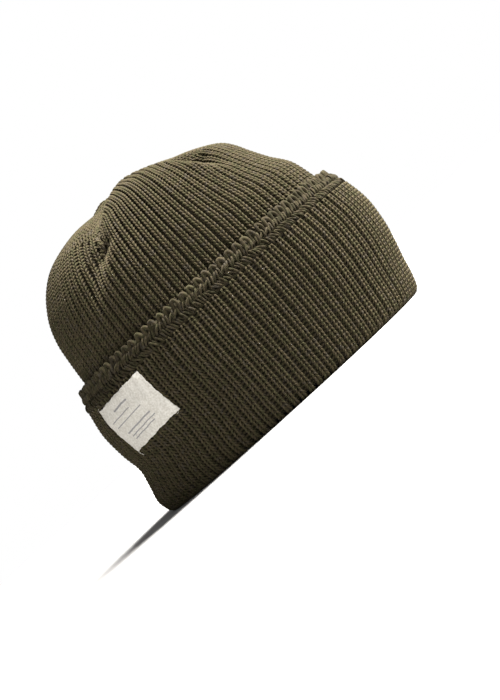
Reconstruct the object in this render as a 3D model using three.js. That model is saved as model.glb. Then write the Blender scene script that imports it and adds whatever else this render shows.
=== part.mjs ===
// A knitted watch cap in its worn form: a rib-knit crown gathered by four darts, a deep cuff
// turned up from the rim, and a small cloth label sewn on the cuff.
// Millimetres. +Z is up, the forehead faces -Y and the wearer's right is -X. The origin is
// the middle of the rim, on the surface that the cap stands on.
import * as THREE from "three";

// Driving dimensions
const capLength = 214; // forehead to nape, over the cuff
const capWidth = 174; // side to side, over the cuff
const crownRise = 75; // the crown's top above the cuff's free edge
const cuffHeight = 93; // rim to free edge
const knitThickness = 3.2; // one layer of knit, from a rib's crest to the back
const ribDepth = 1.3; // crest to groove
const panelRibs = 25; // ribs in each of the crown's four panels
const layerGap = 0.5; // crown to cuff, where the two layers lie together
const cuffSlack = 2.4; // how much further the cuff's free edge stands off the crown
const foldReturn = 6.5; // the fold's inner leg, up from the rim
const restWidth = 2.6; // the flat that the fold has where it rests
const dartRibPitch = 3.9; // the ribs keep this pitch where the darts take them in
const dartDepth = 3.4; // how far a dart draws the crown in
const dartWidth = 13; // half the width of the hollow along a dart
const labelRibs = 8; // ribs that the label spans
const labelFirstRib = 7; // ribs from the middle of the back to the label
const labelHeight = 32.5;
const labelBase = 41.2; // rim to the middle of the label's lower edge
const labelRise = 2; // how much higher the label's front end sits than its back end
const labelThickness = 0.7;
const seatGap = 0.3; // between pieces that touch
const planSquareness = 2.15; // 2 is an ellipse, more is squarer

const panels = 4;
const columnsPerPanel = 2 * panelRibs; // a crest and a groove for each rib
const columnCount = panels * columnsPerPanel;
const foldThickness = 2 * knitThickness + layerGap;
const foldRadius = foldThickness / 2;
const edgeRound = knitThickness / 2.4;

// The cuff's outer form from the rim up. rise is a share of cuffHeight, front and back are
// shares of half the length, side of half the width, and relief of the rib depth.
const cuffForm = [
  { rise: 0.0, front: 0.872, back: 0.98, side: 0.968, relief: 1 },
  { rise: 0.108, front: 0.906, back: 1.0, side: 0.98, relief: 1 },
  { rise: 0.215, front: 0.929, back: 0.978, side: 0.987, relief: 1 },
  { rise: 0.344, front: 0.961, back: 0.956, side: 0.993, relief: 1 },
  { rise: 0.495, front: 0.989, back: 0.974, side: 0.999, relief: 1 },
  { rise: 0.645, front: 1.0, back: 0.982, side: 1.0, relief: 1 },
  { rise: 0.84, front: 0.985, back: 0.957, side: 0.986, relief: 1 },
  { rise: 1.0, front: 0.962, back: 0.919, side: 0.96, relief: 0.7 },
];

// The crown above the cuff. Reaches are shares of the crown's reach at the cuff's free edge
// and rises are shares of crownRise. dart says how deep the darts are drawn in.
const crownForm = [
  { front: 1, frontRise: 0, back: 1, backRise: 0, side: 1, sideRise: 0, dart: 0 },
  { front: 0.853, frontRise: 0.347, back: 0.963, backRise: 0.347, side: 0.945, sideRise: 0.35, dart: 0 },
  { front: 0.783, frontRise: 0.507, back: 0.92, backRise: 0.507, side: 0.885, sideRise: 0.52, dart: 0.05 },
  { front: 0.75, frontRise: 0.6, back: 0.87, backRise: 0.613, side: 0.81, sideRise: 0.66, dart: 0.3 },
  { front: 0.69, frontRise: 0.68, back: 0.79, backRise: 0.735, side: 0.715, sideRise: 0.785, dart: 0.75 },
  { front: 0.575, frontRise: 0.765, back: 0.665, backRise: 0.845, side: 0.585, sideRise: 0.885, dart: 1 },
  { front: 0.425, frontRise: 0.845, back: 0.5, backRise: 0.92, side: 0.43, sideRise: 0.955, dart: 1 },
  { front: 0.25, frontRise: 0.94, back: 0.31, backRise: 0.94, side: 0.25, sideRise: 1, dart: 0.8 },
  { front: 0.1, frontRise: 0.975, back: 0.12, backRise: 0.985, side: 0.1, sideRise: 0.99, dart: 0.55 },
  { front: 0, frontRise: 0.97, back: 0, backRise: 0.97, side: 0, sideRise: 0.97, dart: 0 },
];

// Crests and grooves take turns. The smooth hidden faces use every fourth column.
const allColumns = Array.from({ length: columnCount }, (_, index) => index);
const hiddenColumns = allColumns.filter((column) => ((column + panelRibs) % columnsPerPanel) % 4 === 0);
const formHeights = cuffForm.slice(1, -1).map((row) => row.rise * cuffHeight);

function isGroove(column) {
  return (column + panelRibs) % 2 === 0;
}

// The cuff's form at a height above the rim, straight between the rows of its table.
function cuffAt(height) {
  const rise = THREE.MathUtils.clamp(height / cuffHeight, 0, 1);
  const upper = Math.max(1, cuffForm.findIndex((row) => row.rise >= rise));
  const [low, high] = [cuffForm[upper - 1], cuffForm[upper]];
  const share = (rise - low.rise) / (high.rise - low.rise);
  const at = (name) => THREE.MathUtils.lerp(low[name], high[name], share);
  return { front: at("front"), back: at("back"), side: at("side"), relief: at("relief") };
}

// A section is a closed curve round the cap, with its reach and height at the front, at the
// back and at the sides.
function cuffSection(height, inset = 0) {
  const form = cuffAt(height);
  const end = (reach, half) => ({ reach: reach * half - inset, height });
  return {
    front: end(form.front, capLength / 2),
    back: end(form.back, capLength / 2),
    side: end(form.side, capWidth / 2),
    relief: form.relief,
  };
}

// How far the crown lies inside the cuff's outer form.
function crownInset(height) {
  const standOff = cuffSlack * THREE.MathUtils.smoothstep(height / cuffHeight, 0.6, 1);
  return knitThickness + layerGap + standOff;
}

function crownSection(row) {
  const shoulder = cuffSection(cuffHeight, crownInset(cuffHeight));
  const end = (side, share, rise) => ({
    reach: side.reach * share,
    height: cuffHeight + rise * crownRise,
  });
  return {
    front: end(shoulder.front, row.front, row.frontRise),
    back: end(shoulder.back, row.back, row.backRise),
    side: end(shoulder.side, row.side, row.sideRise),
    relief: 1,
    dart: row.dart,
  };
}

// The point of a section at an angle from the middle of the back, by the wearer's right.
function planPoint(section, angle) {
  const [along, across] = [Math.cos(angle), Math.sin(angle)];
  const end = along > 0 ? section.back : section.front;
  const bend = 2 / planSquareness;
  return new THREE.Vector3(
    -Math.sign(across) * section.side.reach * Math.abs(across) ** bend,
    Math.sign(along) * end.reach * Math.abs(along) ** bend,
    section.side.height * across ** 2 + end.height * along ** 2,
  );
}

// Measures a section once, so that points can be asked for by their share of its length.
function measured(section) {
  const steps = 360;
  const points = [];
  const lengths = [0];
  for (let i = 0; i <= steps; i++) points.push(planPoint(section, (2 * Math.PI * i) / steps));
  for (let i = 1; i <= steps; i++) lengths.push(lengths[i - 1] + points[i].distanceTo(points[i - 1]));
  const length = lengths[steps];
  const pointAt = (share) => {
    const target = THREE.MathUtils.euclideanModulo(share, 1) * length;
    const next = Math.max(1, lengths.findIndex((value) => value >= target));
    const step = lengths[next] - lengths[next - 1];
    const part = step > 0 ? (target - lengths[next - 1]) / step : 0;
    return points[next - 1].clone().lerp(points[next], part);
  };
  return { ...section, length, pointAt };
}

// Ribs are evenly spaced from the middle of each panel. Where a section is too short for all
// of them, those past the panel's edge end in the dart.
function columnShare(section, column) {
  const panel = Math.floor((column + panelRibs) / columnsPerPanel);
  const pitch = Math.max(section.length / (panels * panelRibs), dartRibPitch);
  const fromMiddle = ((column - panel * columnsPerPanel) * pitch) / 2;
  const edge = section.length / (2 * panels);
  const reached = THREE.MathUtils.clamp(fromMiddle, -edge, edge);
  return panel / panels + reached / Math.max(section.length, 1e-9);
}

// Distance from the nearest dart line, measured round the section.
function fromDart(section, share) {
  const turn = THREE.MathUtils.euclideanModulo(share * panels, 1);
  return (Math.abs(turn - 0.5) / panels) * section.length;
}

// Rings of points over a list of sections. depth is how far a ring lies under the crests,
// and ribbed rings have their groove columns lowered.
function ringsOver(sections, { depth = 0, ribbed = false }) {
  const step = 1e-3;
  return sections.map((section, row) => {
    const below = sections[Math.max(row - 1, 0)];
    const above = sections[Math.min(row + 1, sections.length - 1)];
    const columns = ribbed ? allColumns : hiddenColumns;
    const points = columns.map((column) => {
      const share = columnShare(section, column);
      const round = section.pointAt(share + step).sub(section.pointAt(share - step));
      const upward = above.pointAt(share).sub(below.pointAt(share));
      const outward = round.cross(upward).normalize();
      if (section.length < 1) outward.set(0, 0, 1);
      const hollow = Math.exp(-((fromDart(section, share) / dartWidth) ** 2));
      const drawnIn = (section.dart ?? 0) * dartDepth * hollow;
      const lowered = isGroove(column) || fromDart(section, share) < seatGap;
      const groove = ribbed && lowered ? ribDepth * section.relief : 0;
      return section.pointAt(share).addScaledVector(outward, -(depth + drawnIn + groove));
    });
    return { columns, points };
  });
}

// A level ring of the cuff, at an inset from its outer form.
function cuffRing(height, inset, ribbed = false) {
  const crest = measured(cuffSection(height, inset));
  const groove = measured(cuffSection(height, inset + ribDepth * crest.relief));
  const columns = ribbed ? allColumns : hiddenColumns;
  const points = columns.map((column) => {
    const section = ribbed && isGroove(column) ? groove : crest;
    return section.pointAt(columnShare(section, column));
  });
  return { columns, points };
}

// Triangles between two rings, taken in the order of their columns, so that a ring with
// every column can meet one with every second.
function bridge(lower, upper, emit) {
  const [a, b] = [lower.points, upper.points];
  let [i, j] = [0, 0];
  while (i < a.length || j < b.length) {
    const nextA = i < a.length ? (lower.columns[i + 1] ?? lower.columns[0] + columnCount) : Infinity;
    const nextB = j < b.length ? (upper.columns[j + 1] ?? upper.columns[0] + columnCount) : Infinity;
    const [fromA, fromB] = [a[i % a.length], b[j % b.length]];
    if (nextA <= nextB) {
      emit(fromA, a[(i + 1) % a.length], fromB);
      i++;
    } else {
      emit(fromA, b[(j + 1) % b.length], fromB);
      j++;
    }
  }
}

// Collects triangles into one closed geometry: equal points are one vertex, and triangles
// that shrink to a line are left out.
function solidFrom(build) {
  const positions = [];
  const triangles = [];
  const known = new Map();
  const vertex = (point) => {
    const key = point.toArray().map((value) => Math.round(value * 1e4)).join();
    if (!known.has(key)) {
      known.set(key, known.size);
      positions.push(point.x, point.y, point.z);
    }
    return known.get(key);
  };
  build((p, q, r) => {
    const corners = [vertex(p), vertex(q), vertex(r)];
    if (new Set(corners).size === 3) triangles.push(...corners);
  });
  const geometry = new THREE.BufferGeometry();
  geometry.setAttribute("position", new THREE.Float32BufferAttribute(positions, 3));
  geometry.setIndex(triangles);
  geometry.computeVertexNormals();
  return geometry;
}

function loft(rings, closed) {
  return solidFrom((emit) => {
    const last = closed ? rings.length : rings.length - 1;
    for (let i = 0; i < last; i++) bridge(rings[i], rings[(i + 1) % rings.length], emit);
  });
}

// The crown: a dome with its wall inside the cuff down to the fold's inner leg.
function makeCrown() {
  const heights = [foldReturn + seatGap, ...formHeights];
  const hidden = (depth) => heights.map((height) => cuffRing(height, crownInset(height) + depth));
  const sections = crownForm.map((row) => measured(crownSection(row)));
  const outer = ringsOver(sections, { ribbed: true });
  const inner = ringsOver(sections, { depth: knitThickness });
  return loft(
    [...inner.reverse(), ...hidden(knitThickness).reverse(), ...hidden(0), ...outer],
    false,
  );
}

// The cuff: a tall outer leg, the fold that the cap stands on, and a short inner leg.
function makeCuff() {
  const innerFace = knitThickness + layerGap;
  const restStart = foldRadius - restWidth / 2;
  const restEnd = foldRadius + restWidth / 2;
  const under = foldRadius * 0.3;
  const side = foldRadius * 0.14;
  const top = cuffHeight;
  const gapFloor = knitThickness;
  return loft(
    [
      cuffRing(0, restStart, true),
      cuffRing(under, side, true),
      cuffRing(foldRadius, 0, true),
      ...formHeights.map((height) => cuffRing(height, 0, true)),
      cuffRing(top - edgeRound * 0.5, edgeRound * 0.25, true),
      cuffRing(top, edgeRound),
      cuffRing(top, knitThickness - edgeRound * 0.5),
      cuffRing(top - edgeRound, knitThickness),
      ...formHeights.toReversed().map((height) => cuffRing(height, knitThickness)),
      cuffRing(gapFloor, knitThickness),
      cuffRing(gapFloor, innerFace),
      cuffRing(foldReturn, innerFace),
      cuffRing(foldReturn, foldThickness),
      cuffRing(under, foldThickness - side),
      cuffRing(0, restEnd),
    ],
    true,
  );
}

// The label: a thin sheet that bends with the cuff and lies on the crests of its ribs.
function makeLabel() {
  const first = 2 * labelFirstRib;
  const columns = Array.from({ length: labelRibs + 1 }, (_, i) => first + 2 * i);
  const steps = 6;
  const rows = Array.from({ length: steps + 1 }, (_, i) => {
    const middle = labelBase + (labelHeight * i) / steps;
    const sheet = (lift) => columns.map((column, rib) => {
      const height = middle + labelRise * (rib / labelRibs - 0.5);
      const section = measured(cuffSection(height, -lift));
      return section.pointAt(columnShare(section, column));
    });
    return { back: sheet(seatGap), face: sheet(seatGap + labelThickness) };
  });
  return solidFrom((emit) => {
    const quad = (a, b, c, d) => {
      emit(a, b, c);
      emit(a, c, d);
    };
    const lastColumn = columns.length - 1;
    for (let r = 0; r < steps; r++) {
      const [low, high] = [rows[r], rows[r + 1]];
      for (let c = 0; c < lastColumn; c++) {
        quad(low.face[c], low.face[c + 1], high.face[c + 1], high.face[c]);
        quad(low.back[c + 1], low.back[c], high.back[c], high.back[c + 1]);
      }
      quad(low.back[0], low.face[0], high.face[0], high.back[0]);
      quad(low.face[lastColumn], low.back[lastColumn], high.back[lastColumn], high.face[lastColumn]);
    }
    for (let c = 0; c < lastColumn; c++) {
      const [low, high] = [rows[0], rows[steps]];
      quad(low.back[c], low.back[c + 1], low.face[c + 1], low.face[c]);
      quad(high.face[c], high.face[c + 1], high.back[c + 1], high.back[c]);
    }
  });
}

const oliveKnit = new THREE.MeshStandardMaterial({ color: 0x4a4634, roughness: 0.95, metalness: 0 });
const labelCloth = new THREE.MeshStandardMaterial({ color: 0xe4ded2, roughness: 0.9, metalness: 0 });

function piece(name, geometry, material) {
  const mesh = new THREE.Mesh(geometry, material);
  mesh.name = name;
  return mesh;
}

const watchCap = new THREE.Group();
watchCap.add(
  piece("crown", makeCrown(), oliveKnit),
  piece("cuff", makeCuff(), oliveKnit),
  piece("label", makeLabel(), labelCloth),
);

export default watchCap;
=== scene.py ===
import math

import bmesh
import bpy
import numpy as np
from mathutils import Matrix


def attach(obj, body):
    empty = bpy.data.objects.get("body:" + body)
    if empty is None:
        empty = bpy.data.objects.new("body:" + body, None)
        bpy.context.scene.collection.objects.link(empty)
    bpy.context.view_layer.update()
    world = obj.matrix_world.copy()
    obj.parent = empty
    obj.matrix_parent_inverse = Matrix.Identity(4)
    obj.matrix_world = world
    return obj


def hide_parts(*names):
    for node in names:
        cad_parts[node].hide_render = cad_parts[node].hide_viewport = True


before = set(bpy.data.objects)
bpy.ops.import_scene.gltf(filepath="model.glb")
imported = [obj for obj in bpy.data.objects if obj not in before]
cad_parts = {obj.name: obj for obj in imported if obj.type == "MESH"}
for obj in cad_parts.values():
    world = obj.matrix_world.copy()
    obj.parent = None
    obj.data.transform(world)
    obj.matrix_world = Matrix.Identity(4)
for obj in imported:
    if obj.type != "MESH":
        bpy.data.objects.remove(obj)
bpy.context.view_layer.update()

# Sizes, in metres
CAP_LENGTH = 0.214
CAP_WIDTH = 0.174
CROWN_RISE = 0.0768
CUFF_HEIGHT = 0.0912
KNIT = 0.0032  # one layer, from a rib's crest to the back
LAYER_GAP = 0.0005
CUFF_SLACK = 0.0024
FOLD_RETURN = 0.0065
FOLD_RADIUS = (2 * KNIT + LAYER_GAP) / 2
DART_PITCH = 0.0039
DART_DEPTH = 0.0034
DART_WIDTH = 0.013
SQUARENESS = 2.15
RIBS = 100
ROW = 0.00235  # one row of stitches
YARN = 0.00106  # radius
GROOVE = 0.0018  # crest to the strands across the groove between two ribs
HOLE = 0.0030  # crest to the bottom of the holes between those strands
RIB_BACK = 0.0019  # crest to the sheet behind a rib
EDGE_BACK = 0.0022  # crest to the sheet behind the looped edge
HIDDEN_BACK = 0.0004  # the same on the crown's part inside the cuff
RIB_HOLLOW = 0.0011  # how far the crown's inside sinks in behind a rib
RIB_PITCH = 0.006  # the pitch that the yarn's shapes are drawn for
RIB_END = 0.1  # a rib ends this far from the end of its panel, in rib pitches
# The cuff's looped edge, from its free side down
LOOP_ROW = 0.0051
EDGE_ROLL = 0.0018
UPPER_SLANT = 0.0047
LOWER_SLANT = 0.0046
LABEL = {
    "back_rib": 6.82,
    "front_rib": 14.64,
    "base": 0.0417,
    "height": 0.0315,
    "rise": 0.002,
    "back_lean": 0.68,  # of a rib, from the label's top to its bottom
    "front_lean": 0.78,
    "cloth": 0.0007,
    "flat": (48, 32),  # millimetres
    "hem": 3,  # millimetres that lie closer to the knit along each edge
    "threads": (76, 52),  # waves of the weave along the label and up it
}
# Shares of the way round where the crown's panels meet, where each seam's crease runs out low
# down, and how far up the crown its pit lies
SEAMS = (0.18, 0.375, 0.625, 0.82)
SEAM_FEET = (0.145, 0.385, 0.615, 0.855)
SEAM_PITS = (0.32, 0.42, 0.42, 0.32)
# The crease along a seam and the swelling beside it, which lies in front of the crease where side
# is 1 and behind it where side is -1, towards the ear in both
SEAM_FORM = {
    "front": {"crease": 0.0036, "width": 0.006, "ridge": 0.0019, "side": -1},
    "back": {"crease": 0.0034, "width": 0.0085, "ridge": 0.001, "side": 1},
}
RIDGE_OFFSET = 0.004
RIDGE_WIDTH = 0.006
PIT_DEPTH = 0.0034
PIT_WIDTH = 0.008
PIT_RISE = 0.05  # half the pit's height, as a share of the crown's rings
# How unevenly the strands of the looped edge and of the seams lie. rib is in ribs, row in rows of
# the surface, ring in shares of the crown's rings, across and proud in metres
EDGE_STRAY = {"rib": 0.035, "row": 0.35, "lean": 0.2, "proud": 0.00035, "size": 0.06}
SEAM_STRAY = {"ring": 0.006, "across": 0.0009, "lean": 0.45, "proud": 0.0004, "size": 0.12}

# Shares of the cuff's height, and of half the length or width
CUFF_FORM = {
    "rise": (0, 0.108, 0.215, 0.344, 0.495, 0.645, 0.84, 1),
    "front": (0.872, 0.906, 0.929, 0.961, 0.989, 1, 0.976, 0.925),
    "back": (0.98, 1, 0.978, 0.956, 0.974, 0.982, 0.957, 0.919),
    "side": (0.968, 0.98, 0.987, 0.993, 0.999, 1, 0.986, 0.96),
}
# Shares of the crown's reach at the cuff's free edge, and of its rise above it, at places from
# there at 0 to the middle of the top at 9. dart is the share of the darts' full depth
CROWN_PLACES = (0, 0.5, 1, 2, 3, 4, 5, 6, 7, 8, 9)
CROWN_FORM = {
    "front": (1, 0.957, 0.868, 0.797, 0.764, 0.716, 0.599, 0.443, 0.26, 0.104, 0),
    "front_rise": (0, 0.19, 0.347, 0.495, 0.572, 0.652, 0.738, 0.83, 0.935, 0.975, 0.975),
    "back": (1, 0.982, 0.963, 0.92, 0.87, 0.79, 0.665, 0.5, 0.31, 0.12, 0),
    "back_rise": (0, 0.19, 0.347, 0.507, 0.613, 0.732, 0.84, 0.89, 0.905, 0.99, 0.985),
    "side": (1, 0.973, 0.945, 0.885, 0.81, 0.715, 0.585, 0.43, 0.25, 0.1, 0),
    "side_rise": (0, 0.19, 0.35, 0.52, 0.66, 0.785, 0.88, 0.93, 0.97, 0.99, 0.98),
    "dart": (0, 0, 0, 0.05, 0.3, 0.75, 1, 1, 0.8, 0.55, 0),
}
CROWN_STEPS = 240  # rings of the crown's surface above the cuff
CROWN_FILL = 1.05  # how much wider the crown's slack ribs are than the cuff's stretched ones
RING = 1200  # points on each ring of a surface
QUARTER = 360  # steps along each quarter that a ring is worked out from
RIB_STEPS = 500  # steps along a rib that its stitches are set out from
COURSE_STEPS = 600  # steps up a surface that its rows are set out from
rng = np.random.default_rng(25)


# Surfaces
def smooth(xs, ys, x):
    """A curve through a table's rows that never overshoots them."""
    xs, ys, x = (np.asarray(values, float) for values in (xs, ys, x))
    step = np.diff(xs)
    slope = np.diff(ys) / step
    tangent = np.zeros_like(ys)
    before, after = slope[:-1], slope[1:]
    bends_on = before * after > 0
    mean = 2 * before * after / np.where(bends_on, before + after, 1)
    tangent[1:-1] = np.where(bends_on, mean, 0)
    tangent[0], tangent[-1] = slope[0], slope[-1]
    i = np.clip(np.searchsorted(xs, x, side="right") - 1, 0, len(step) - 1)
    t, h = (x - xs[i]) / step[i], step[i]
    low = (1 + 2 * t) * (1 - t) ** 2 * ys[i] + t * (1 - t) ** 2 * h * tangent[i]
    high = t * t * (3 - 2 * t) * ys[i + 1] + t * t * (t - 1) * h * tangent[i + 1]
    return low + high


def unit(vectors):
    """The vectors at a length of one."""
    return vectors / np.maximum(np.linalg.norm(vectors, axis=-1, keepdims=True), 1e-12)


def plan_rings(section):
    """Rings from the reach and height of each section's front, back and sides. Each quarter
    is shared out on its own, so that ribs run straight down the sides."""
    turn = np.linspace(0, 2 * np.pi, 4 * QUARTER + 1)
    along, across = np.cos(turn), np.sin(turn)
    column = {name: np.asarray(values, float)[:, None] for name, values in section.items()}
    bend = 2 / SQUARENESS
    end_reach = np.where(along > 0, column["back"], column["front"])
    end_height = np.where(along > 0, column["back_z"], column["front_z"])
    x = -np.sign(across) * column["side"] * np.abs(across) ** bend
    y = np.sign(along) * end_reach * np.abs(along) ** bend
    z = column["side_z"] * across**2 + end_height * along**2
    points = np.stack(np.broadcast_arrays(x, y, z), axis=-1)
    steps = np.linalg.norm(np.diff(points, axis=1), axis=-1)
    steps = np.maximum(steps, 1e-12).reshape(len(points), 4, QUARTER)
    passed = np.cumsum(steps, axis=2) / np.sum(steps, axis=2, keepdims=True)
    passed = (passed + np.arange(4)[:, None]).reshape(len(points), -1) / 4
    passed = np.concatenate([np.zeros((len(points), 1)), passed], axis=1)
    even = np.linspace(0, 1, RING + 1)
    rings = np.empty((len(points), RING + 1, 3))
    for row in range(len(points)):
        for axis in range(3):
            rings[row, :, axis] = np.interp(even, passed[row], points[row, :, axis])
    return rings, steps.sum(axis=(1, 2))


class Surface:
    """A surface made of rings. Points are asked for by row and by share of the way round,
    from the middle of the back by the wearer's right."""

    def __init__(self, rings, lengths):
        self.rings, self.lengths, self.last = rings, lengths, len(rings) - 1

    def at(self, row, share):
        row, share = np.broadcast_arrays(np.clip(row, 0, self.last), np.asarray(share, float) % 1)
        low = np.minimum(row.astype(int), self.last - 1)
        left = np.minimum((share * RING).astype(int), RING - 1)
        up, right = (row - low)[..., None], (share * RING - left)[..., None]
        lower = self.rings[low, left] * (1 - right) + self.rings[low, left + 1] * right
        upper = self.rings[low + 1, left] * (1 - right) + self.rings[low + 1, left + 1] * right
        return lower * (1 - up) + upper * up

    def length(self, row):
        return np.interp(row, np.arange(self.last + 1), self.lengths)

    def frame(self, row, share):
        """Unit vectors round the cap, up the ribs and out of the knit."""
        span = 0.0015 / np.maximum(self.length(row), 0.01)
        around = self.at(row, share + span) - self.at(row, share - span)
        up = self.at(row + 1.5, share) - self.at(row - 1.5, share)
        out = unit(np.cross(around, up))
        up = unit(up - out * np.sum(up * out, axis=-1, keepdims=True))
        return np.cross(up, out), up, out

    def lifted(self, lift):
        """The same surface moved out by lift(row, share)."""
        row, share = np.arange(self.last + 1)[:, None], np.linspace(0, 1, RING + 1)[None]
        out = self.frame(row, share)[2]
        moved = self.rings + out * lift(row, share)[..., None]
        return Surface(moved, self.lengths)


def cuff_section(height, inset):
    """The reach and height of the cuff's outer form at heights, drawn in by the insets."""
    rise = np.clip(height / CUFF_HEIGHT, 0, 1)

    def reach(name, half):
        return smooth(CUFF_FORM["rise"], CUFF_FORM[name], rise) * half - inset

    return {
        "front": reach("front", CAP_LENGTH / 2),
        "back": reach("back", CAP_LENGTH / 2),
        "side": reach("side", CAP_WIDTH / 2),
        "front_z": height,
        "back_z": height,
        "side_z": height,
    }


def crown_inset(height):
    """How far the crown lies inside the cuff's outer form."""
    t = np.clip((height / CUFF_HEIGHT - 0.6) / 0.4, 0, 1)
    return KNIT + LAYER_GAP + CUFF_SLACK * t * t * (3 - 2 * t)


def cuff_surface():
    """Up the outer leg from inside the fold: the fold's inner leg, its round, then the wall."""
    round_turn = np.linspace(0, np.pi, 20)
    inner_leg = np.linspace(FOLD_RETURN, FOLD_RADIUS, 6)[:-1]
    wall = np.arange(FOLD_RADIUS + 0.0006, CUFF_HEIGHT + 1e-6, 0.0006)
    height = np.concatenate([inner_leg, FOLD_RADIUS * (1 - np.sin(round_turn)), wall])
    rounded = EDGE_ROLL * np.clip((wall - CUFF_HEIGHT + LOOP_ROW) / LOOP_ROW, 0, 1) ** 2
    fold_inset = FOLD_RADIUS * (1 + np.cos(round_turn))
    inset = np.concatenate([np.full(5, 2 * FOLD_RADIUS), fold_inset, rounded])
    plain = Surface(*plan_rings(cuff_section(height, inset)))

    def slack(row, share):
        turn = share * 2 * np.pi
        rise = np.interp(row, np.arange(len(height)), height) / CUFF_HEIGHT
        ripple = np.sin(9 * turn + 1.3) + 0.7 * np.sin(14 * turn + 4 * rise)
        return 0.00028 * ripple * np.sin(np.pi * rise * 0.8)

    return plain.lifted(slack), height


def crown_surface():
    """From inside the cuff's fold up to the middle of the top, drawn in along the darts."""
    inside = np.arange(FOLD_RETURN + 0.0003, CUFF_HEIGHT, 0.001)
    hidden = cuff_section(inside, crown_inset(inside))
    shoulder = cuff_section(np.array([CUFF_HEIGHT]), crown_inset(CUFF_HEIGHT))
    steps = np.linspace(0, CROWN_PLACES[-1], CROWN_STEPS)
    table = {name: smooth(CROWN_PLACES, values, steps) for name, values in CROWN_FORM.items()}
    section = {}
    for name in ("front", "back", "side"):
        section[name] = np.concatenate([hidden[name], table[name] * shoulder[name]])
        rise = CUFF_HEIGHT + table[name + "_rise"] * CROWN_RISE
        section[name + "_z"] = np.concatenate([inside, rise])
    plain = Surface(*plan_rings(section))
    drawn = np.concatenate([np.zeros(len(inside)), table["dart"]])

    def draw_in(row, share):
        length = plain.lengths[row]
        t = np.clip((row - len(inside)) / CROWN_STEPS, 0, 1)
        hollow = 0
        for seam, foot, pit in zip(SEAMS, SEAM_FEET, SEAM_PITS):
            line = seam + (foot - seam) * np.clip((pit - t) / 0.2, 0, 1)
            from_seam = (share - line) * length
            started = np.clip((t - pit + 0.24) / 0.16, 0, 1)
            closing = np.clip((1 - t) / 0.25, 0, 1)
            hollow = hollow - drawn[row] * DART_DEPTH * np.exp(-((from_seam / DART_WIDTH) ** 2))
            form = SEAM_FORM["front" if 0.25 < seam < 0.75 else "back"]
            shape = np.exp(-((from_seam / form["width"]) ** 2))
            crease = form["crease"] * started * closing * shape
            shape = np.exp(-((from_seam / PIT_WIDTH) ** 2) - ((t - pit) / PIT_RISE) ** 2)
            dent = PIT_DEPTH * shape
            from_ridge = from_seam * np.sign(0.5 - seam) * form["side"] - form["width"] - RIDGE_OFFSET
            shape = np.exp(-((from_ridge / RIDGE_WIDTH) ** 2))
            ridge = form["ridge"] * started * closing * shape
            hollow = hollow - crease - dent + ridge
        turn = share * 2 * np.pi
        ripple = np.sin(7 * turn + 0.6 + 3 * t) + 0.6 * np.sin(12 * turn - 5 * t)
        return hollow + 0.00035 * ripple * np.sin(np.pi * t) ** 0.5

    return plain.lifted(draw_in), len(inside)


def panel_of(rib):
    """The middle and half the width, in ribs, of the panel that a rib belongs to."""
    edges = np.array([SEAMS[-1] - 1, *SEAMS, 1 + SEAMS[0]]) * RIBS
    found = np.clip(np.searchsorted(edges, rib, side="right") - 1, 0, len(edges) - 2)
    return (edges[found] + edges[found + 1]) / 2, (edges[found + 1] - edges[found]) / 2


def rib_share(surface, row, rib):
    """Where a rib runs on a row. Ribs keep an even spacing from the middle of their panel,
    and end where the panel does."""
    middle, half = panel_of(rib)
    length = np.maximum(surface.length(row), 1e-9)
    spread = np.maximum(1, DART_PITCH * RIBS / length)
    return (middle + np.clip((rib - middle) * spread, -half, half)) / RIBS


def rib_room(surface, row, rib):
    """How far a rib is from the end of its panel, in rib pitches."""
    middle, half = panel_of(rib)
    spread = np.maximum(1, DART_PITCH * RIBS / np.maximum(surface.length(row), 1e-9))
    return half / spread - np.abs(rib - middle)


def rib_width(pitch):
    """A rib's width at a pitch."""
    return 0.45 * pitch + 0.00155


# Meshes
def mesh_piece(name, points, faces):
    mesh = bpy.data.meshes.new(name)
    mesh.from_pydata(np.asarray(points).tolist(), [], faces)
    mesh.update()
    piece = bpy.data.objects.new(name, mesh)
    bpy.context.scene.collection.objects.link(piece)
    mesh.shade_smooth()
    return piece


def ring_sheet(name, grid, knit_uv, material, closed=True):
    """A closed skin over a grid of rings. closed joins the last ring to the first; otherwise
    both ends are points. knit_uv holds each grid point's rib and row for the pattern."""
    rows, columns = grid.shape[:2]
    index = np.arange(rows * columns).reshape(rows, columns)
    upper = np.roll(index, -1, axis=0) if closed else index[1:]
    lower = index if closed else index[:-1]
    quads = np.stack(
        [lower, np.roll(lower, -1, axis=1), np.roll(upper, -1, axis=1), upper], axis=-1
    )
    quads = quads.reshape(-1, 4)
    piece = mesh_piece(name, grid.reshape(-1, 3), quads.tolist())
    mesh = piece.data
    column_of = np.tile(np.arange(columns), (len(lower), 1))
    row_of = np.tile(np.arange(len(lower))[:, None], (1, columns))
    corner_column = np.stack([column_of, column_of + 1, column_of + 1, column_of], axis=-1)
    corner_row = np.stack([row_of, row_of, row_of + 1, row_of + 1], axis=-1)
    unfold = np.stack([corner_column / columns, corner_row / len(lower)], axis=-1)
    write_uv(mesh, "OFBake", unfold.reshape(-1, 2))
    rib, course = knit_uv
    rib = np.concatenate([rib, rib[:, :1] + RIBS], axis=1)
    course = np.concatenate([course, course[:, :1]], axis=1)
    wrapped = corner_row % rows
    write_uv(
        mesh,
        "Knit",
        np.stack([rib[wrapped, corner_column], course[wrapped, corner_column]], axis=-1).reshape(-1, 2),
    )
    weld(mesh)
    mesh.materials.append(material)
    return piece


def weld(mesh):
    """Joins points that lie together and drops faces without area."""
    work = bmesh.new()
    work.from_mesh(mesh)
    bmesh.ops.remove_doubles(work, verts=work.verts, dist=2e-6)
    bmesh.ops.dissolve_degenerate(work, edges=work.edges, dist=1e-6)
    work.to_mesh(mesh)
    work.free()
    mesh.shade_smooth()


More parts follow.
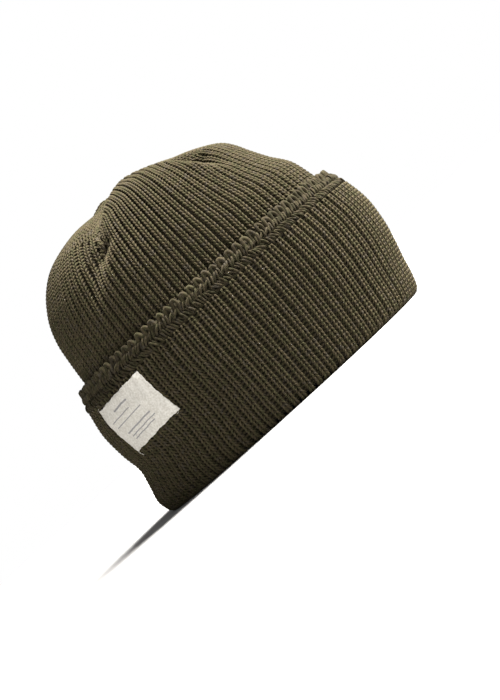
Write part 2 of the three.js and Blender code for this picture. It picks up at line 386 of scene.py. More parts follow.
def write_uv(mesh, name, values):
    layer = mesh.uv_layers.new(name=name)
    layer.data.foreach_set("uv", np.ascontiguousarray(values, dtype=np.float32).ravel())


# Node trees
def node(tree, kind, plugs=None, **settings):
    """A new node with its settings. plugs gives each input a value or a socket to link to."""
    made = tree.nodes.new(kind)
    for name, value in settings.items():
        setattr(made, name, value)
    for key, value in (plugs or {}).items():
        socket = made.inputs[key]
        if isinstance(value, bpy.types.NodeSocket):
            tree.links.new(value, socket)
        else:
            socket.default_value = value
    return made


def math_node(tree, operation, *values):
    return node(tree, "ShaderNodeMath", dict(enumerate(values)), operation=operation).outputs[0]


def geometry_tree(name, sizes):
    """An empty tree with named inputs, the sockets that they give and the output's socket."""
    tree = bpy.data.node_groups.new(name, "GeometryNodeTree")
    face = tree.interface
    face.new_socket("Geometry", in_out="INPUT", socket_type="NodeSocketGeometry")
    for label, kind in sizes.items():
        face.new_socket(label, in_out="INPUT", socket_type=kind)
    face.new_socket("Geometry", in_out="OUTPUT", socket_type="NodeSocketGeometry")
    return tree, tree.nodes.new("NodeGroupInput").outputs, tree.nodes.new("NodeGroupOutput").inputs


def named(tree, name):
    made = node(tree, "GeometryNodeInputNamedAttribute", {"Name": name}, data_type="FLOAT_VECTOR")
    return made.outputs[0]


def store(tree, geometry, name, value):
    made = node(
        tree,
        "GeometryNodeStoreNamedAttribute",
        {"Geometry": geometry, "Name": name, "Value": value},
        data_type="FLOAT",
        domain="POINT",
    )
    return made.outputs[0]


def yarn_along(tree, curve, radius, sides, thin_end):
    """A yarn along a curve, thinner at both ends, that knows how far along and round it is."""
    factor = node(tree, "GeometryNodeSplineParameter").outputs["Factor"]
    belly = math_node(tree, "SINE", math_node(tree, "MULTIPLY", factor, math.pi))
    widest = math_node(tree, "SUBTRACT", 1.0, thin_end)
    swell = math_node(tree, "MULTIPLY_ADD", belly, widest, thin_end)
    ring = node(tree, "GeometryNodeCurvePrimitiveCircle", {"Resolution": sides, "Radius": 1.0})
    profile = store(tree, ring.outputs["Curve"], "around", factor)
    tube = node(
        tree,
        "GeometryNodeCurveToMesh",
        {
            "Curve": store(tree, curve, "along", factor),
            "Profile Curve": profile,
            "Scale": math_node(tree, "MULTIPLY", swell, radius),
            "Fill Caps": True,
        },
    )
    return tube.outputs[0]


def set_out(tree, outputs, shape, points, material):
    """Copies a shape to every point, turned and sized by the point's own values."""
    copies = node(
        tree,
        "GeometryNodeInstanceOnPoints",
        {
            "Points": points,
            "Instance": shape,
            "Rotation": named(tree, "turn"),
            "Scale": named(tree, "size"),
        },
    )
    real = node(tree, "GeometryNodeRealizeInstances", {"Geometry": copies.outputs[0]})
    soft = node(tree, "GeometryNodeSetShadeSmooth", {"Geometry": real.outputs[0]})
    done = node(
        tree, "GeometryNodeSetMaterial", {"Geometry": soft.outputs[0], "Material": material}
    )
    tree.links.new(done.outputs[0], outputs["Geometry"])


FLOAT, WHOLE, VECTOR = "NodeSocketFloat", "NodeSocketInt", "NodeSocketVector"
STUFF, YES_NO = "NodeSocketMaterial", "NodeSocketBool"


def yarn_tree():
    """A length of yarn along a curve, and its mirror image where a stitch has two legs."""
    sizes = {
        "Start": VECTOR,
        "Start Handle": VECTOR,
        "End Handle": VECTOR,
        "End": VECTOR,
        "Yarn Radius": FLOAT,
        "Thin Ends": FLOAT,
        "Sides": WHOLE,
        "Segments": WHOLE,
        "Two Legs": YES_NO,
        "Yarn": STUFF,
    }
    tree, given, outputs = geometry_tree("yarn", sizes)
    ends = ("Start", "Start Handle", "End Handle", "End")
    plugs = {name: given[name] for name in ends}
    plugs["Resolution"] = given["Segments"]
    path = node(tree, "GeometryNodeCurvePrimitiveBezierSegment", plugs).outputs[0]
    leg = yarn_along(tree, path, given["Yarn Radius"], given["Sides"], given["Thin Ends"])
    other = node(tree, "GeometryNodeTransform", {"Geometry": leg, "Scale": (-1, 1, 1)})
    other = node(tree, "GeometryNodeFlipFaces", {"Mesh": other.outputs[0]}).outputs[0]
    other = store(tree, other, "side", 1.0)
    second = node(
        tree,
        "GeometryNodeSwitch",
        {"Switch": given["Two Legs"], "True": other},
        input_type="GEOMETRY",
    )
    both = node(tree, "GeometryNodeJoinGeometry")
    tree.links.new(store(tree, leg, "side", 0.0), both.inputs[0])
    tree.links.new(second.outputs[0], both.inputs[0])
    set_out(tree, outputs, both.outputs[0], given["Geometry"], given["Yarn"])
    return tree


def euler_of(x_axis, y_axis, z_axis):
    """XYZ turns of the frames with these axes."""
    matrix = np.stack([x_axis, y_axis, z_axis], axis=-1)
    return np.stack(
        [
            np.arctan2(matrix[..., 2, 1], matrix[..., 2, 2]),
            -np.arcsin(np.clip(matrix[..., 2, 0], -1, 1)),
            np.arctan2(matrix[..., 1, 0], matrix[..., 0, 0]),
        ],
        axis=-1,
    )


def set_out_copies(name, tree, values, places):
    """Runs a tree over places, which hold each copy's point, turn, size, shade and cell of the
    unfolded pattern, and returns the result as a plain mesh."""
    mesh = bpy.data.meshes.new(name)
    mesh.from_pydata(places["point"].tolist(), [], [])
    for key in ("turn", "size", "cell"):
        layer = mesh.attributes.new(key, "FLOAT_VECTOR", "POINT")
        layer.data.foreach_set("vector", places[key].astype(np.float32).ravel())
    layer = mesh.attributes.new("shade", "FLOAT", "POINT")
    layer.data.foreach_set("value", places["shade"].astype(np.float32))
    holder = bpy.data.objects.new(name, mesh)
    bpy.context.scene.collection.objects.link(holder)
    modifier = holder.modifiers.new(name, "NODES")
    modifier.node_group = tree
    for item in tree.interface.items_tree:
        if item.in_out == "INPUT" and item.name in values:
            modifier[item.identifier] = values[item.name]
    shown = holder.evaluated_get(bpy.context.evaluated_depsgraph_get())
    result = bpy.data.meshes.new_from_object(shown)
    holder.modifiers.clear()
    holder.data = result
    result.name = name
    unfold_cells(result)
    return holder


def unfold_cells(mesh):
    """Gives every copy its own cell of the unfolded pattern."""
    count = len(mesh.vertices)
    read = {}
    for key in ("along", "around", "side"):
        read[key] = np.empty(count, np.float32)
        mesh.attributes[key].data.foreach_get("value", read[key])
    cell = np.empty(count * 3, np.float32)
    mesh.attributes["cell"].data.foreach_get("vector", cell)
    cell = cell.reshape(-1, 3)
    corner = np.empty(len(mesh.loops), np.int32)
    mesh.loops.foreach_get("vertex_index", corner)
    start = np.empty(len(mesh.polygons), np.int32)
    mesh.polygons.foreach_get("loop_start", start)
    total = np.diff(np.append(start, len(corner)))
    around = read["around"][corner]
    widest = np.repeat(np.maximum.reduceat(around, start), total)
    around = np.where(widest - around > 0.5, 1.0, around)
    columns, rows = cell[:, 0].max() + 1, cell[:, 1].max() + 1
    u = (cell[corner, 0] + (read["side"][corner] + 0.04 + 0.92 * around) / 2) / columns
    v = (cell[corner, 1] + 0.04 + 0.92 * read["along"][corner]) / rows
    write_uv(mesh, "OFBake", np.stack([u, v], axis=-1))


# Materials
def shader(name):
    material = bpy.data.materials.new(name)
    material.use_nodes = True
    tree = material.node_tree
    return material, tree, tree.nodes["Principled BSDF"]


def ramp(tree, factor, stops):
    made = node(tree, "ShaderNodeValToRGB", {"Fac": factor})
    elements = made.color_ramp.elements
    while len(elements) < len(stops):
        elements.new(0.5)
    for element, (place, colour) in zip(elements, stops):
        element.position, element.color = place, (*colour, 1)
    return made.outputs["Color"]


def noise(tree, vector, scale, detail=2.0, roughness=0.5):
    made = node(
        tree,
        "ShaderNodeTexNoise",
        {"Vector": vector, "Scale": scale, "Detail": detail, "Roughness": roughness},
    )
    return made.outputs[0]


def wool(name, tone, behind=False):
    """Marled wool: olive, brown and grey fibres spun together. tone scales its brightness.
    behind adds painted shade in the holes and the relief of the knit behind the ribs."""
    material, tree, surface = shader(name)
    place = node(tree, "ShaderNodeTexCoord").outputs["Object"]
    marl = noise(tree, place, 310.0, 3.0, 0.62)
    stops = [
        (0.34, (0.0415, 0.0395, 0.0195)),
        (0.45, (0.0540, 0.0480, 0.0240)),
        (0.54, (0.0600, 0.0465, 0.0260)),
        (0.64, (0.0560, 0.0490, 0.0350)),
    ]
    colour = ramp(tree, marl, stops)
    shade = node(tree, "ShaderNodeAttribute", attribute_name="shade").outputs["Fac"]
    fibre = noise(tree, place, 2600.0, 2.0, 0.7)
    fibre_tone = math_node(tree, "MULTIPLY_ADD", fibre, 0.9 * tone, 0.45 * tone)
    twist = yarn_twist(tree)
    ply_tone = math_node(tree, "MULTIPLY_ADD", twist, 0.1 * tone, fibre_tone)
    lightness = math_node(tree, "MULTIPLY_ADD", shade, 0.22 * tone, ply_tone)
    # Painted shade in the holes between the rows of the knit behind the ribs.
    if behind:
        lightness = math_node(tree, "MULTIPLY", lightness, painted_hole_shade(tree))
    tinted = node(tree, "ShaderNodeVectorMath", {0: colour, "Scale": lightness}, operation="SCALE")
    tree.links.new(tinted.outputs[0], surface.inputs["Base Color"])
    height = math_node(tree, "MULTIPLY_ADD", twist, 0.5, fibre)
    relief = 0.00032
    if behind:
        height = knit_relief(tree, fibre)
        relief = 0.0007
    bump = node(
        tree, "ShaderNodeBump", {"Height": height, "Strength": 0.6, "Distance": relief}
    )
    tree.links.new(bump.outputs[0], surface.inputs["Normal"])
    surface.inputs["Roughness"].default_value = 0.95
    surface.inputs["Specular IOR Level"].default_value = 0.08
    surface.inputs["Sheen Weight"].default_value = 0.06
    surface.inputs["Sheen Roughness"].default_value = 0.5
    surface.inputs["Sheen Tint"].default_value = (0.62, 0.56, 0.42, 1)
    return material


def yarn_twist(tree, turns=2.5, plies=2.0):
    """A wave that runs round the yarn and along it, as its twisted plies do."""
    along = node(tree, "ShaderNodeAttribute", attribute_name="along").outputs["Fac"]
    around = node(tree, "ShaderNodeAttribute", attribute_name="around").outputs["Fac"]
    round_share = math_node(tree, "MULTIPLY", around, plies)
    strand = math_node(tree, "MULTIPLY_ADD", along, turns, round_share)
    return math_node(tree, "SINE", math_node(tree, "MULTIPLY", strand, 2 * math.pi))


def painted_hole_shade(tree):
    """Painted shade: full on each row's strand and dark in the hole after it, where shade falls between
    the rows.
    """
    knit = node(tree, "ShaderNodeUVMap", uv_map="Knit").outputs[0]
    course = node(tree, "ShaderNodeSeparateXYZ", {0: knit}).outputs[1]
    wave = math_node(tree, "COSINE", math_node(tree, "MULTIPLY", course, 2 * math.pi))
    return math_node(tree, "MULTIPLY_ADD", wave, 0.4, 0.6)


def knit_relief(tree, fibre):
    """The V of each stitch as relief, from the piece's rib and row."""
    knit = node(tree, "ShaderNodeUVMap", uv_map="Knit").outputs[0]
    parts = node(tree, "ShaderNodeSeparateXYZ", {0: knit}).outputs
    across = math_node(tree, "PINGPONG", math_node(tree, "ADD", parts[0], 0.5), 0.5)
    slant = math_node(tree, "MULTIPLY_ADD", across, -1.6, parts[1])
    wave = math_node(tree, "SINE", math_node(tree, "MULTIPLY", slant, 2 * math.pi))
    crest = math_node(tree, "MULTIPLY_ADD", wave, 0.5, 0.5)
    return math_node(tree, "MULTIPLY_ADD", fibre, 0.35, crest)


def canvas():
    """Cream canvas with a plain weave and a few grey ruled lines."""
    material, tree, surface = shader("label canvas")
    weave = node(tree, "ShaderNodeUVMap", uv_map="Weave").outputs[0]
    part = node(tree, "ShaderNodeSeparateXYZ", {0: weave}).outputs
    place = node(tree, "ShaderNodeTexCoord").outputs["Object"]
    waves = []
    for axis, count in enumerate(LABEL["threads"]):
        turn = math_node(tree, "MULTIPLY", part[axis], count * 2 * math.pi)
        waves.append(math_node(tree, "SINE", turn))
    cloth = math_node(tree, "MULTIPLY", waves[0], waves[1])
    slub = noise(tree, place, 900.0, 3.0, 0.6)
    base = ramp(
        tree,
        math_node(tree, "MULTIPLY_ADD", cloth, 0.12, slub),
        [(0.3, (0.47, 0.445, 0.39)), (0.5, (0.60, 0.58, 0.53)), (0.7, (0.68, 0.665, 0.62))],
    )
    # left, right, height and thickness of each ruled line, in shares of the label
    rules = [
        (0.12, 0.56, 0.66, 0.020),
        (0.12, 0.72, 0.54, 0.020),
        (0.30, 0.62, 0.80, 0.034),
        (0.20, 0.74, 0.345, 0.030),
        (0.22, 0.76, 0.255, 0.022),
        (0.22, 0.70, 0.185, 0.022),
    ]
    ink = 0.0
    for left, right, height, thick in rules:
        middle, half = (left + right) / 2, (right - left) / 2
        in_x = math_node(tree, "COMPARE", part[0], middle, half)
        in_y = math_node(tree, "COMPARE", part[1], height, thick / 2)
        ink = math_node(tree, "MAXIMUM", ink, math_node(tree, "MULTIPLY", in_x, in_y))
    worn = math_node(tree, "MULTIPLY", ink, math_node(tree, "MULTIPLY_ADD", slub, 0.9, 0.2))
    mixed = mix_colour(tree, worn, base, (0.12, 0.12, 0.15, 1))
    tree.links.new(mixed, surface.inputs["Base Color"])
    bump = node(
        tree,
        "ShaderNodeBump",
        {"Height": math_node(tree, "MULTIPLY_ADD", cloth, 0.5, slub), "Distance": 0.0001},
    )
    tree.links.new(bump.outputs[0], surface.inputs["Normal"])
    surface.inputs["Roughness"].default_value = 0.85
    surface.inputs["Specular IOR Level"].default_value = 0.25
    return material


def thread():
    """Cream cotton with a fine twist."""
    material, tree, surface = shader("label thread")
    place = node(tree, "ShaderNodeTexCoord").outputs["Object"]
    fibre = noise(tree, place, 3000.0)
    colour = ramp(tree, fibre, [(0.3, (0.42, 0.40, 0.34)), (0.7, (0.62, 0.60, 0.54))])
    tree.links.new(colour, surface.inputs["Base Color"])
    bump = node(tree, "ShaderNodeBump", {"Height": fibre, "Distance": 0.00005})
    tree.links.new(bump.outputs[0], surface.inputs["Normal"])
    surface.inputs["Roughness"].default_value = 0.85
    return material


def mix_colour(tree, factor, first, second):
    """From the first colour to the second as the factor goes from 0 to 1."""
    made = node(tree, "ShaderNodeMix", data_type="RGBA")
    colours = [socket for socket in made.inputs if socket.type == "RGBA"]
    tree.links.new(factor, made.inputs[0])
    for socket, value in zip(colours, (first, second)):
        if isinstance(value, bpy.types.NodeSocket):
            tree.links.new(value, socket)
        else:
            socket.default_value = value
    return next(socket for socket in made.outputs if socket.type == "RGBA")


cuff_wool = wool("cuff yarn", 1.0)
crown_wool = wool("crown yarn", 1.0)
# The looped edge's yarn is a darker copy of the same yarn (tone 0.6): painted shade.
edge_wool = wool("edge yarn", 0.6)
# The knit between the ribs and the crown's inside are a darker copy of the same yarn (tone 0.8):
# painted shade in the grooves and inside.
cuff_back = wool("cuff knit between the ribs", 0.8, behind=True)
crown_back = wool("crown knit between the ribs and inside", 0.8, behind=True)
label_cloth = canvas()
label_thread = thread()


# Knit
def stitch_places(surface, ribs, first_row, last_row, flip):
    """A place for every stitch of some ribs, from one row of a surface to another."""
    rows = np.linspace(first_row, last_row, RIB_STEPS)
    found = {key: [] for key in ("point", "turn", "size", "shade", "cell")}
    for rib in ribs:
        wander = 0.05 * math.sin(rib * 1.7) + 0.04 * math.sin(rib * 0.61 + 2)
        share = rib_share(surface, rows, rib + wander)
        pitch = np.maximum(surface.length(rows) / RIBS, DART_PITCH)
        ended = rib_room(surface, rows, rib) < RIB_END
        alive = int(np.argmax(ended)) or len(rows)
        path = surface.at(rows[:alive], share[:alive])
        steps = np.linalg.norm(np.diff(path, axis=0), axis=-1)
        reached = np.concatenate([[0], np.cumsum(steps)])
        count = max(int(round(reached[-1] / ROW)), 1)
        spacing = reached[-1] / count
        at = (np.arange(count) + 0.5) * spacing
        row = np.interp(at, reached, rows[:alive])
        side = np.interp(at, reached, share[:alive])
        around, up, out = surface.frame(row, side)
        width = rib_width(np.interp(at, reached, pitch[:alive])) * (1 + 0.05 * math.sin(rib * 2.3))
        if flip:
            around, up = -around, -up
        else:
            width = width * CROWN_FILL
        jitter = rng.normal(0, 1, (count, 4))
        lean = 0.03 * jitter[:, 3:4]
        around, up = around + up * lean, up - around * lean
        found["point"].append(surface.at(row, side))
        found["turn"].append(euler_of(unit(around), unit(up), out))
        size = [
            width / STITCH_WIDTH * (1 + 0.03 * jitter[:, 0]),
            spacing / ROW * (1 + 0.03 * jitter[:, 1]),
            1 + 0.05 * jitter[:, 2],
        ]
        found["size"].append(np.stack(size, axis=-1))
        found["shade"].append(rng.random(count))
        cells = np.zeros((count, 3))
        cells[:, 0], cells[:, 1] = rib - ribs[0], np.arange(count)
        found["cell"].append(cells)
    return {key: np.concatenate(values) for key, values in found.items()}


STITCH_WIDTH = rib_width(RIB_PITCH)
cuff, cuff_height_of = cuff_surface()
crown, crown_start = crown_surface()
yarn = yarn_tree()


def cuff_row(height):
    """The row of the cuff's outer wall at a height."""
    wall = int(np.argmin(cuff_height_of)) + 1
    return np.interp(height, cuff_height_of[wall:], np.arange(wall, len(cuff_height_of)))


ribs_end = float(cuff_row(CUFF_HEIGHT - LOOP_ROW - UPPER_SLANT - LOWER_SLANT))
stitch_shape = {
    "Start": (0.08 * STITCH_WIDTH, -0.35 * ROW, -1.5 * YARN),
    "Start Handle": (0.25 * STITCH_WIDTH, -0.35 * ROW, 0.45 * YARN),
    "End Handle": (0.33 * STITCH_WIDTH, 0.65 * ROW, 0.45 * YARN),
    "End": (0.40 * STITCH_WIDTH, 1.05 * ROW, -2.6 * YARN),
    "Yarn Radius": YARN,
    "Thin Ends": 0.6,
    "Sides": 5,
    "Segments": 3,
    "Two Legs": True,
    "Yarn": cuff_wool,
}
crown_stitch_shape = stitch_shape | {
    "Start Handle": (0.21 * STITCH_WIDTH, -0.35 * ROW, 0.45 * YARN),
    "End Handle": (0.30 * STITCH_WIDTH, 0.65 * ROW, 0.35 * YARN),
    "Yarn Radius": 1.14 * YARN,
    "Yarn": crown_wool,
}
pieces = {}
for side, ribs in {"right": range(0, RIBS // 2), "left": range(RIBS // 2, RIBS)}.items():
    name = "cuff_ribs_" + side
    places = stitch_places(cuff, ribs, 0, ribs_end, flip=True)
    pieces[name] = set_out_copies(name, yarn, stitch_shape, places)
    name = "crown_ribs_" + side
    places = stitch_places(crown, ribs, crown_start - 8, crown.last - 1, flip=False)
    pieces[name] = set_out_copies(name, yarn, crown_stitch_shape, places)


def base_grid(surface, rows, columns_per_rib, depth_at):
    """Points under a surface on a grid of ribs and rows, with each point's rib."""
    rib = np.arange(0, RIBS, 1 / columns_per_rib)
    row = np.asarray(rows, float)[:, None]
    share = rib_share(surface, row, rib[None])
    out = surface.frame(row, share)[2]
    depth = depth_at(np.arange(len(rows))[:, None], rib[None])
    return surface.at(row, share) - out * depth[..., None], np.broadcast_to(rib, share.shape)


def groove_depth(step, rib):
    """The knit between the ribs: strands across the groove in every row, and holes between."""
    from_rib = np.abs(rib - np.round(rib)) * 2
    strand = GROOVE + (HOLE - GROOVE) * (step % 2)
    return np.where(from_rib > 0.9, strand, RIB_BACK)


def inner_depth(step, rib):
    """The crown's inside, which sinks in behind each rib."""
    from_rib = np.abs(rib - np.round(rib)) * 2
    return KNIT - RIB_HOLLOW * (1 - from_rib) ** 0.7 * (from_rib < 0.95)


def level_depth(depth):
    """The same depth everywhere."""
    return lambda step, rib: np.array([[depth]])


def course_rows(surface, first, last, spacing):
    """Rows of a surface, evenly spaced up its side."""
    rows = np.linspace(first, last, COURSE_STEPS)
    path = surface.at(rows, 0.25)
    reached = np.concatenate([[0], np.cumsum(np.linalg.norm(np.diff(path, axis=0), axis=-1))])
    count = int(round(reached[-1] / spacing)) + 1
    return np.interp(np.linspace(0, reached[-1], count), reached, rows)


def cuff_base():
    """The cuff behind its ribs: its outside, its looped edge and its inside."""
    outer_rows = course_rows(cuff, 0, ribs_end, ROW / 2)
    edge_rows = np.linspace(ribs_end, cuff.last - 3, 8)[1:]
    inner_rows = np.concatenate([edge_rows[::-2], course_rows(cuff, 0, ribs_end, 2 * ROW)[::-1]])
    outer, outer_rib = base_grid(cuff, outer_rows, 4, groove_depth)
    edge, edge_rib = base_grid(cuff, edge_rows, 4, level_depth(EDGE_BACK))
    inner, inner_rib = base_grid(cuff, inner_rows, 4, level_depth(KNIT))
    grid = np.concatenate([outer, edge, inner])
    ribs = np.concatenate([outer_rib, edge_rib, inner_rib])
    course = np.repeat(np.arange(len(grid))[:, None] / 2, grid.shape[1], axis=1)
    return ring_sheet("cuff_base", grid, (ribs, course), cuff_back)


def crown_base():
    """The crown behind its ribs: its outside, its part inside the cuff and its inside."""
    top = crown.last - 2
    outer_rows = course_rows(crown, crown_start - 10, top, ROW / 2)[::-1]
    hidden_rows = np.linspace(0, crown_start - 10, 6)[::-1][1:]
    inner_rows = course_rows(crown, 0, top, 2 * ROW)
    outer, outer_rib = base_grid(crown, outer_rows, 4, groove_depth)
    hidden, hidden_rib = base_grid(crown, hidden_rows, 4, level_depth(HIDDEN_BACK))
    inner, inner_rib = base_grid(crown, inner_rows, 4, inner_depth)
    poles = [
        np.broadcast_to(ring.mean(axis=0), (1, *ring.shape)) for ring in (outer[0], inner[-1])
    ]
    grid = np.concatenate([poles[0], outer, hidden, inner, poles[1]])
    rib = np.concatenate([outer_rib[:1], outer_rib, hidden_rib, inner_rib, inner_rib[:1]])
    outer_course, inner_course = -np.arange(len(outer) + 1) / 2, 2 * np.arange(len(inner) + 1)
    course = np.concatenate([outer_course, np.zeros(len(hidden)), inner_course])
    course = np.repeat(course[:, None], grid.shape[1], axis=1)
    return ring_sheet("crown_base", grid, (rib, course), crown_back, closed=False)


pieces["cuff_base"] = cuff_base()
pieces["crown_base"] = crown_base()


# Looped edge
def edge_places(height, offsets):
    """Places along the cuff's free edge, at offsets from each rib."""
    rib = (np.arange(RIBS)[:, None] + np.asarray(offsets)).ravel()
    row = np.full(len(rib), float(cuff_row(height)))
    share = rib / RIBS
    around, up, out = cuff.frame(row, share)
    share = share + EDGE_STRAY["rib"] / RIBS * rng.normal(0, 1, len(rib))
    row = row + EDGE_STRAY["row"] * rng.normal(0, 1, len(rib))
    jitter = rng.normal(0, 1, (len(rib), 3))
    lean = EDGE_STRAY["lean"] * rng.normal(0, 1, (len(rib), 1))
    around, up = unit(around + up * lean), unit(up - around * lean)
    proud = EDGE_STRAY["proud"] * rng.normal(0, 1, (len(rib), 1))
    return {
        "point": cuff.at(row, share) + out * proud,
        "turn": euler_of(around, up, out),
        "size": 1 + EDGE_STRAY["size"] * jitter,
        "shade": rng.uniform(-0.8, 1.8, len(rib)),
        "cell": cells_in_line(len(rib)),
    }


def cells_in_line(count):
    """Cells of the unfolded pattern, side by side."""
    return np.arange(count)[:, None] * np.array([1.0, 0.0, 0.0])


def slant_shape(reach, height, radius):
    """A strand that leans by a share of the rib pitch over its height."""
    x, y = reach * RIB_PITCH / 2, height * 0.56
    return stitch_shape | {
        "Start": (-x, -y, -2.2 * radius),
        "Start Handle": (-x * 0.7, -y * 0.7, 0.2 * radius),
        "End Handle": (x * 0.7, y * 0.7, 0.2 * radius),
        "End": (x, y, -2.2 * radius),
        "Yarn Radius": radius,
        "Thin Ends": 0.6,
        "Sides": 6,
        "Segments": 6,
        "Two Legs": False,
        "Yarn": edge_wool,
    }


loop_shape = slant_shape(0, LOOP_ROW, 0.00138) | {
    "Start": (-0.0013, -1.1 * LOOP_ROW, -0.0038),
    "Start Handle": (-0.0036, 0.0018, 0.0009),
    "End Handle": (0.0036, 0.0018, 0.0009),
    "End": (0.0013, -1.1 * LOOP_ROW, -0.0038),
    "Thin Ends": 0.85,
    "Sides": 8,
    "Segments": 14,
}
upper_middle = CUFF_HEIGHT - LOOP_ROW - UPPER_SLANT / 2
lower_middle = CUFF_HEIGHT - LOOP_ROW - UPPER_SLANT - LOWER_SLANT / 2
edge_rows = {
    "edge_loops": (loop_shape, CUFF_HEIGHT - 0.0015, (-0.35,)),
    "edge_upper_slants": (
        slant_shape(0.5, UPPER_SLANT, 0.00112),
        upper_middle,
        (-0.85, -0.5, -0.18),
    ),
    "edge_lower_slants": (
        slant_shape(-0.62, LOWER_SLANT, 0.00106),
        lower_middle,
        (-0.66, -0.33, 0),
    ),
}
for name, (shape, height, offsets) in edge_rows.items():
    pieces[name] = set_out_copies(name, yarn, shape, edge_places(height, offsets))


# Seams of the crown
def seam_places():
    """Short strands that draw the panels together, leaning across each seam."""
    found = []
    for seam, pit in zip(SEAMS, SEAM_PITS):
        t = np.repeat(np.arange(pit - 0.03, 0.97, 0.011), 2)
        side = np.tile([-1, 1], len(t) // 2)
        t = t + SEAM_STRAY["ring"] * rng.normal(0, 1, len(t))
        row = crown_start + CROWN_STEPS * t
        across = side * 0.0011 + SEAM_STRAY["across"] * rng.normal(0, 1, len(t))
        share = seam + across / crown.length(row)
        around, up, out = crown.frame(row, share)
        lean = (side * 0.7 + SEAM_STRAY["lean"] * rng.normal(0, 1, len(t)))[:, None]
        leaning = unit(up + around * np.tan(np.clip(lean, -1.3, 1.3)))
        proud = (0.0001 + SEAM_STRAY["proud"] * rng.normal(0, 1, len(t)))[:, None]
        turn = euler_of(np.cross(leaning, out), leaning, out)
        found.append((crown.at(row, share) + out * proud, turn))
    point, turn = (np.concatenate(values) for values in zip(*found))
    return {
        "point": point,
        "turn": turn,
        "size": 1 + SEAM_STRAY["size"] * rng.normal(0, 1, (len(point), 3)),
        "shade": rng.random(len(point)),
        "cell": cells_in_line(len(point)),
    }


seam_shape = slant_shape(0, 0.0036, 0.00092) | {"Segments": 4, "Yarn": crown_wool}
pieces["crown_seams"] = set_out_copies("crown_seams", yarn, seam_shape, seam_places())


# Label
def label_place(u, v):
    """The rib and the height at shares of the label's width and height."""
    lean = LABEL["back_lean"] * (1 - u) + LABEL["front_lean"] * u
    rib = LABEL["back_rib"] + (LABEL["front_rib"] - LABEL["back_rib"]) * u
    height = LABEL["base"] + LABEL["height"] * v + LABEL["rise"] * (u - 0.5)
    return rib + lean * np.clip(1 - v, 0, 1), height


def make_label():
    """A closed sheet of canvas with wavy edges, laid over the ribs."""
    across, up = 88, 60
    u, v = np.meshgrid(np.linspace(0, 1, across + 1), np.linspace(0, 1, up + 1))
    rib, height = label_place(u, v)
    rib = rib + (u - 0.5) * (0.05 * np.sin(v * 31) + 0.035 * np.sin(v * 77 + 2))
    height = height + (v - 0.5) * (0.0004 * np.sin(u * 27 + 1) + 0.0002 * np.sin(u * 90))
    height = height - 0.0012 * (1 - v) * np.sin(np.pi * u) ** 2 * (0.5 - u)
    row, share = cuff_row(height), rib / RIBS
    out = cuff.frame(row, share)[2]
    long, high = LABEL["flat"]
    edge = np.minimum(np.minimum(u, 1 - u) * long, np.minimum(v, 1 - v) * high)
    puff = 0.0003 + 0.0004 * np.clip(edge / LABEL["hem"], 0, 1)
    ripple = 0.00014 * np.cos(rib * 2 * np.pi) + 0.00012 * np.sin(v * 19 + u * 4)
    warp, weft = LABEL["threads"]
    weave = 0.00004 * np.sin(u * warp * 2 * np.pi) * np.sin(v * weft * 2 * np.pi)
    centre = cuff.at(row, share) + out * (puff + ripple)[..., None]
    face = centre + out * (LABEL["cloth"] / 2 + weave)[..., None]
    back = centre - out * LABEL["cloth"] / 2
    points = np.concatenate([face.reshape(-1, 3), back.reshape(-1, 3)])
    index = np.arange(len(points)).reshape(2, up + 1, across + 1)
    faces = []
    for layer, turn in ((0, 1), (1, -1)):
        grid = index[layer]
        quads = np.stack([grid[:-1, :-1], grid[:-1, 1:], grid[1:, 1:], grid[1:, :-1]], axis=-1)
        faces += quads.reshape(-1, 4)[:, ::turn].tolist()
    rim = list(border(up, across))
    for (r, c), (nr, nc) in zip(rim, rim[1:] + rim[:1]):
        faces.append([index[1, r, c], index[1, nr, nc], index[0, nr, nc], index[0, r, c]])
    piece = mesh_piece("label_patch", points, [[int(i) for i in face] for face in faces])
    corner = np.empty(len(piece.data.loops), np.int32)
    piece.data.loops.foreach_get("vertex_index", corner)
    flat = np.stack([np.tile(u.ravel(), 2), np.tile(v.ravel(), 2)], axis=-1)
    write_uv(piece.data, "Weave", flat[corner])
    piece.data.materials.append(label_cloth)
    return piece


def border(up, across):
    """Grid places round the edge, anticlockwise from outside."""
    yield from ((0, c) for c in range(across))
    yield from ((r, across) for r in range(up))
    yield from ((up, c) for c in range(across, 0, -1))
    yield from ((r, 0) for r in range(up, 0, -1))


def thread_places():
    """The ends of the label's sewing thread at its lower corners and its upper back corner."""
    # shares of the label's width and height, turn from upright, and size of each end
    ends = [(0.01, 0, 2.5, 1), (0.03, -0.02, 2.9, 0.7), (0.985, 0, -2.2, 0.6), (0.02, 1, 0.5, 0.5)]
    u, v, tilt, size = np.array(ends).T
    rib, height = label_place(u, v)
    row, share = cuff_row(height), rib / RIBS
    around, up, out = cuff.frame(row, share)
    side, rise = np.sin(tilt)[:, None], np.cos(tilt)[:, None]
    leaning = around * side + up * rise
    return {
        "point": cuff.at(row, share) + out * 0.0009,
        "turn": euler_of(np.cross(leaning, out), leaning, out),
        "size": np.repeat(size[:, None], 3, axis=1),
        "shade": np.ones(len(u)),
        "cell": cells_in_line(len(u)),
    }


pieces["label_patch"] = make_label()
thread_shape = stitch_shape | {
    "Start": (0, -0.0006, -0.0006),
    "Start Handle": (0.0006, 0.0012, 0.0008),
    "End Handle": (-0.0010, 0.0026, 0.0010),
    "End": (0.0007, 0.0042, 0.0001),
    "Yarn Radius": 0.00022,
    "Sides": 6,
    "Segments": 10,
    "Two Legs": False,
    "Yarn": label_thread,
}
pieces["label_threads"] = set_out_copies("label_threads", yarn, thread_shape, thread_places())

stands_for = {"cuff_base": "cuff", "crown_base": "crown", "label_patch": "label"}
for name, piece in pieces.items():
    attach(piece, "root")
    if name in stands_for:
        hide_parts(stands_for[name])


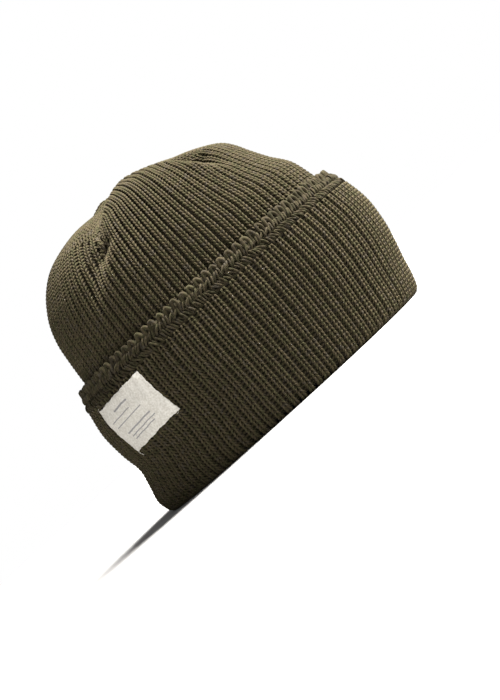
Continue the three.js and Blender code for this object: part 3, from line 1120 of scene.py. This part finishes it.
# Studio
def studio():
    """The floor, the light and the camera."""
    scene = bpy.context.scene
    material, _, surface = shader("pale floor")
    surface.inputs["Base Color"].default_value = (0.27, 0.27, 0.27, 1)
    surface.inputs["Roughness"].default_value = 0.9
    far = 9
    corners = [(-far, -far, 0), (far, -far, 0), (far, far, 0), (-far, far, 0)]
    floor = mesh_piece("floor", corners, [[0, 1, 2, 3]])
    floor.data.materials.append(material)
    world = bpy.data.worlds.new("studio")
    scene.world = world
    world.use_nodes = True
    tree = world.node_tree
    light = tree.nodes["Background"]
    light.inputs["Color"].default_value = (1, 1, 1, 1)
    light.inputs["Strength"].default_value = 0.25
    backdrop = node(tree, "ShaderNodeBackground", {"Color": (1, 1, 1, 1), "Strength": 1.0})
    seen = node(tree, "ShaderNodeLightPath").outputs["Is Camera Ray"]
    both = node(tree, "ShaderNodeMixShader", {0: seen})
    tree.links.new(light.outputs[0], both.inputs[1])
    tree.links.new(backdrop.outputs[0], both.inputs[2])
    tree.links.new(both.outputs[0], tree.nodes["World Output"].inputs["Surface"])
    for name, power, spread, direction, colour in (
        ("key", 26.0, 28, (-0.04, 0.55, -0.83), (1, 0.97, 0.93)),
        ("fill", 0.8, 40, (1.0, 0.3, -0.2), (1, 1, 1)),
    ):
        sun = bpy.data.lights.new(name, "SUN")
        sun.color = colour
        sun.energy, sun.angle = power, math.radians(spread)
        lamp = bpy.data.objects.new(name, sun)
        scene.collection.objects.link(lamp)
        lamp.rotation_euler = turn_toward(direction)
    scene.view_settings.view_transform = "Standard"
    lens = bpy.data.cameras.new("camera")
    lens.lens = 90.9
    lens.sensor_width = 36
    camera = bpy.data.objects.new("camera", lens)
    scene.collection.objects.link(camera)
    roll = math.radians(42.2)
    c, s = math.cos(roll), math.sin(roll)
    axes = np.array([[0, -c, -s], [0, -s, c], [-1, 0, 0]])
    camera.location = (-1.06, 0.0056, 0.0406)
    camera.rotation_euler = euler_of(*axes)
    scene.camera = camera


def turn_toward(direction):
    """The turn that points a lamp along a direction."""
    down = unit(np.asarray(direction, float))
    x_axis = unit(np.cross((0, 0, 1), -down))
    return euler_of(x_axis, np.cross(-down, x_axis), -down)


studio()
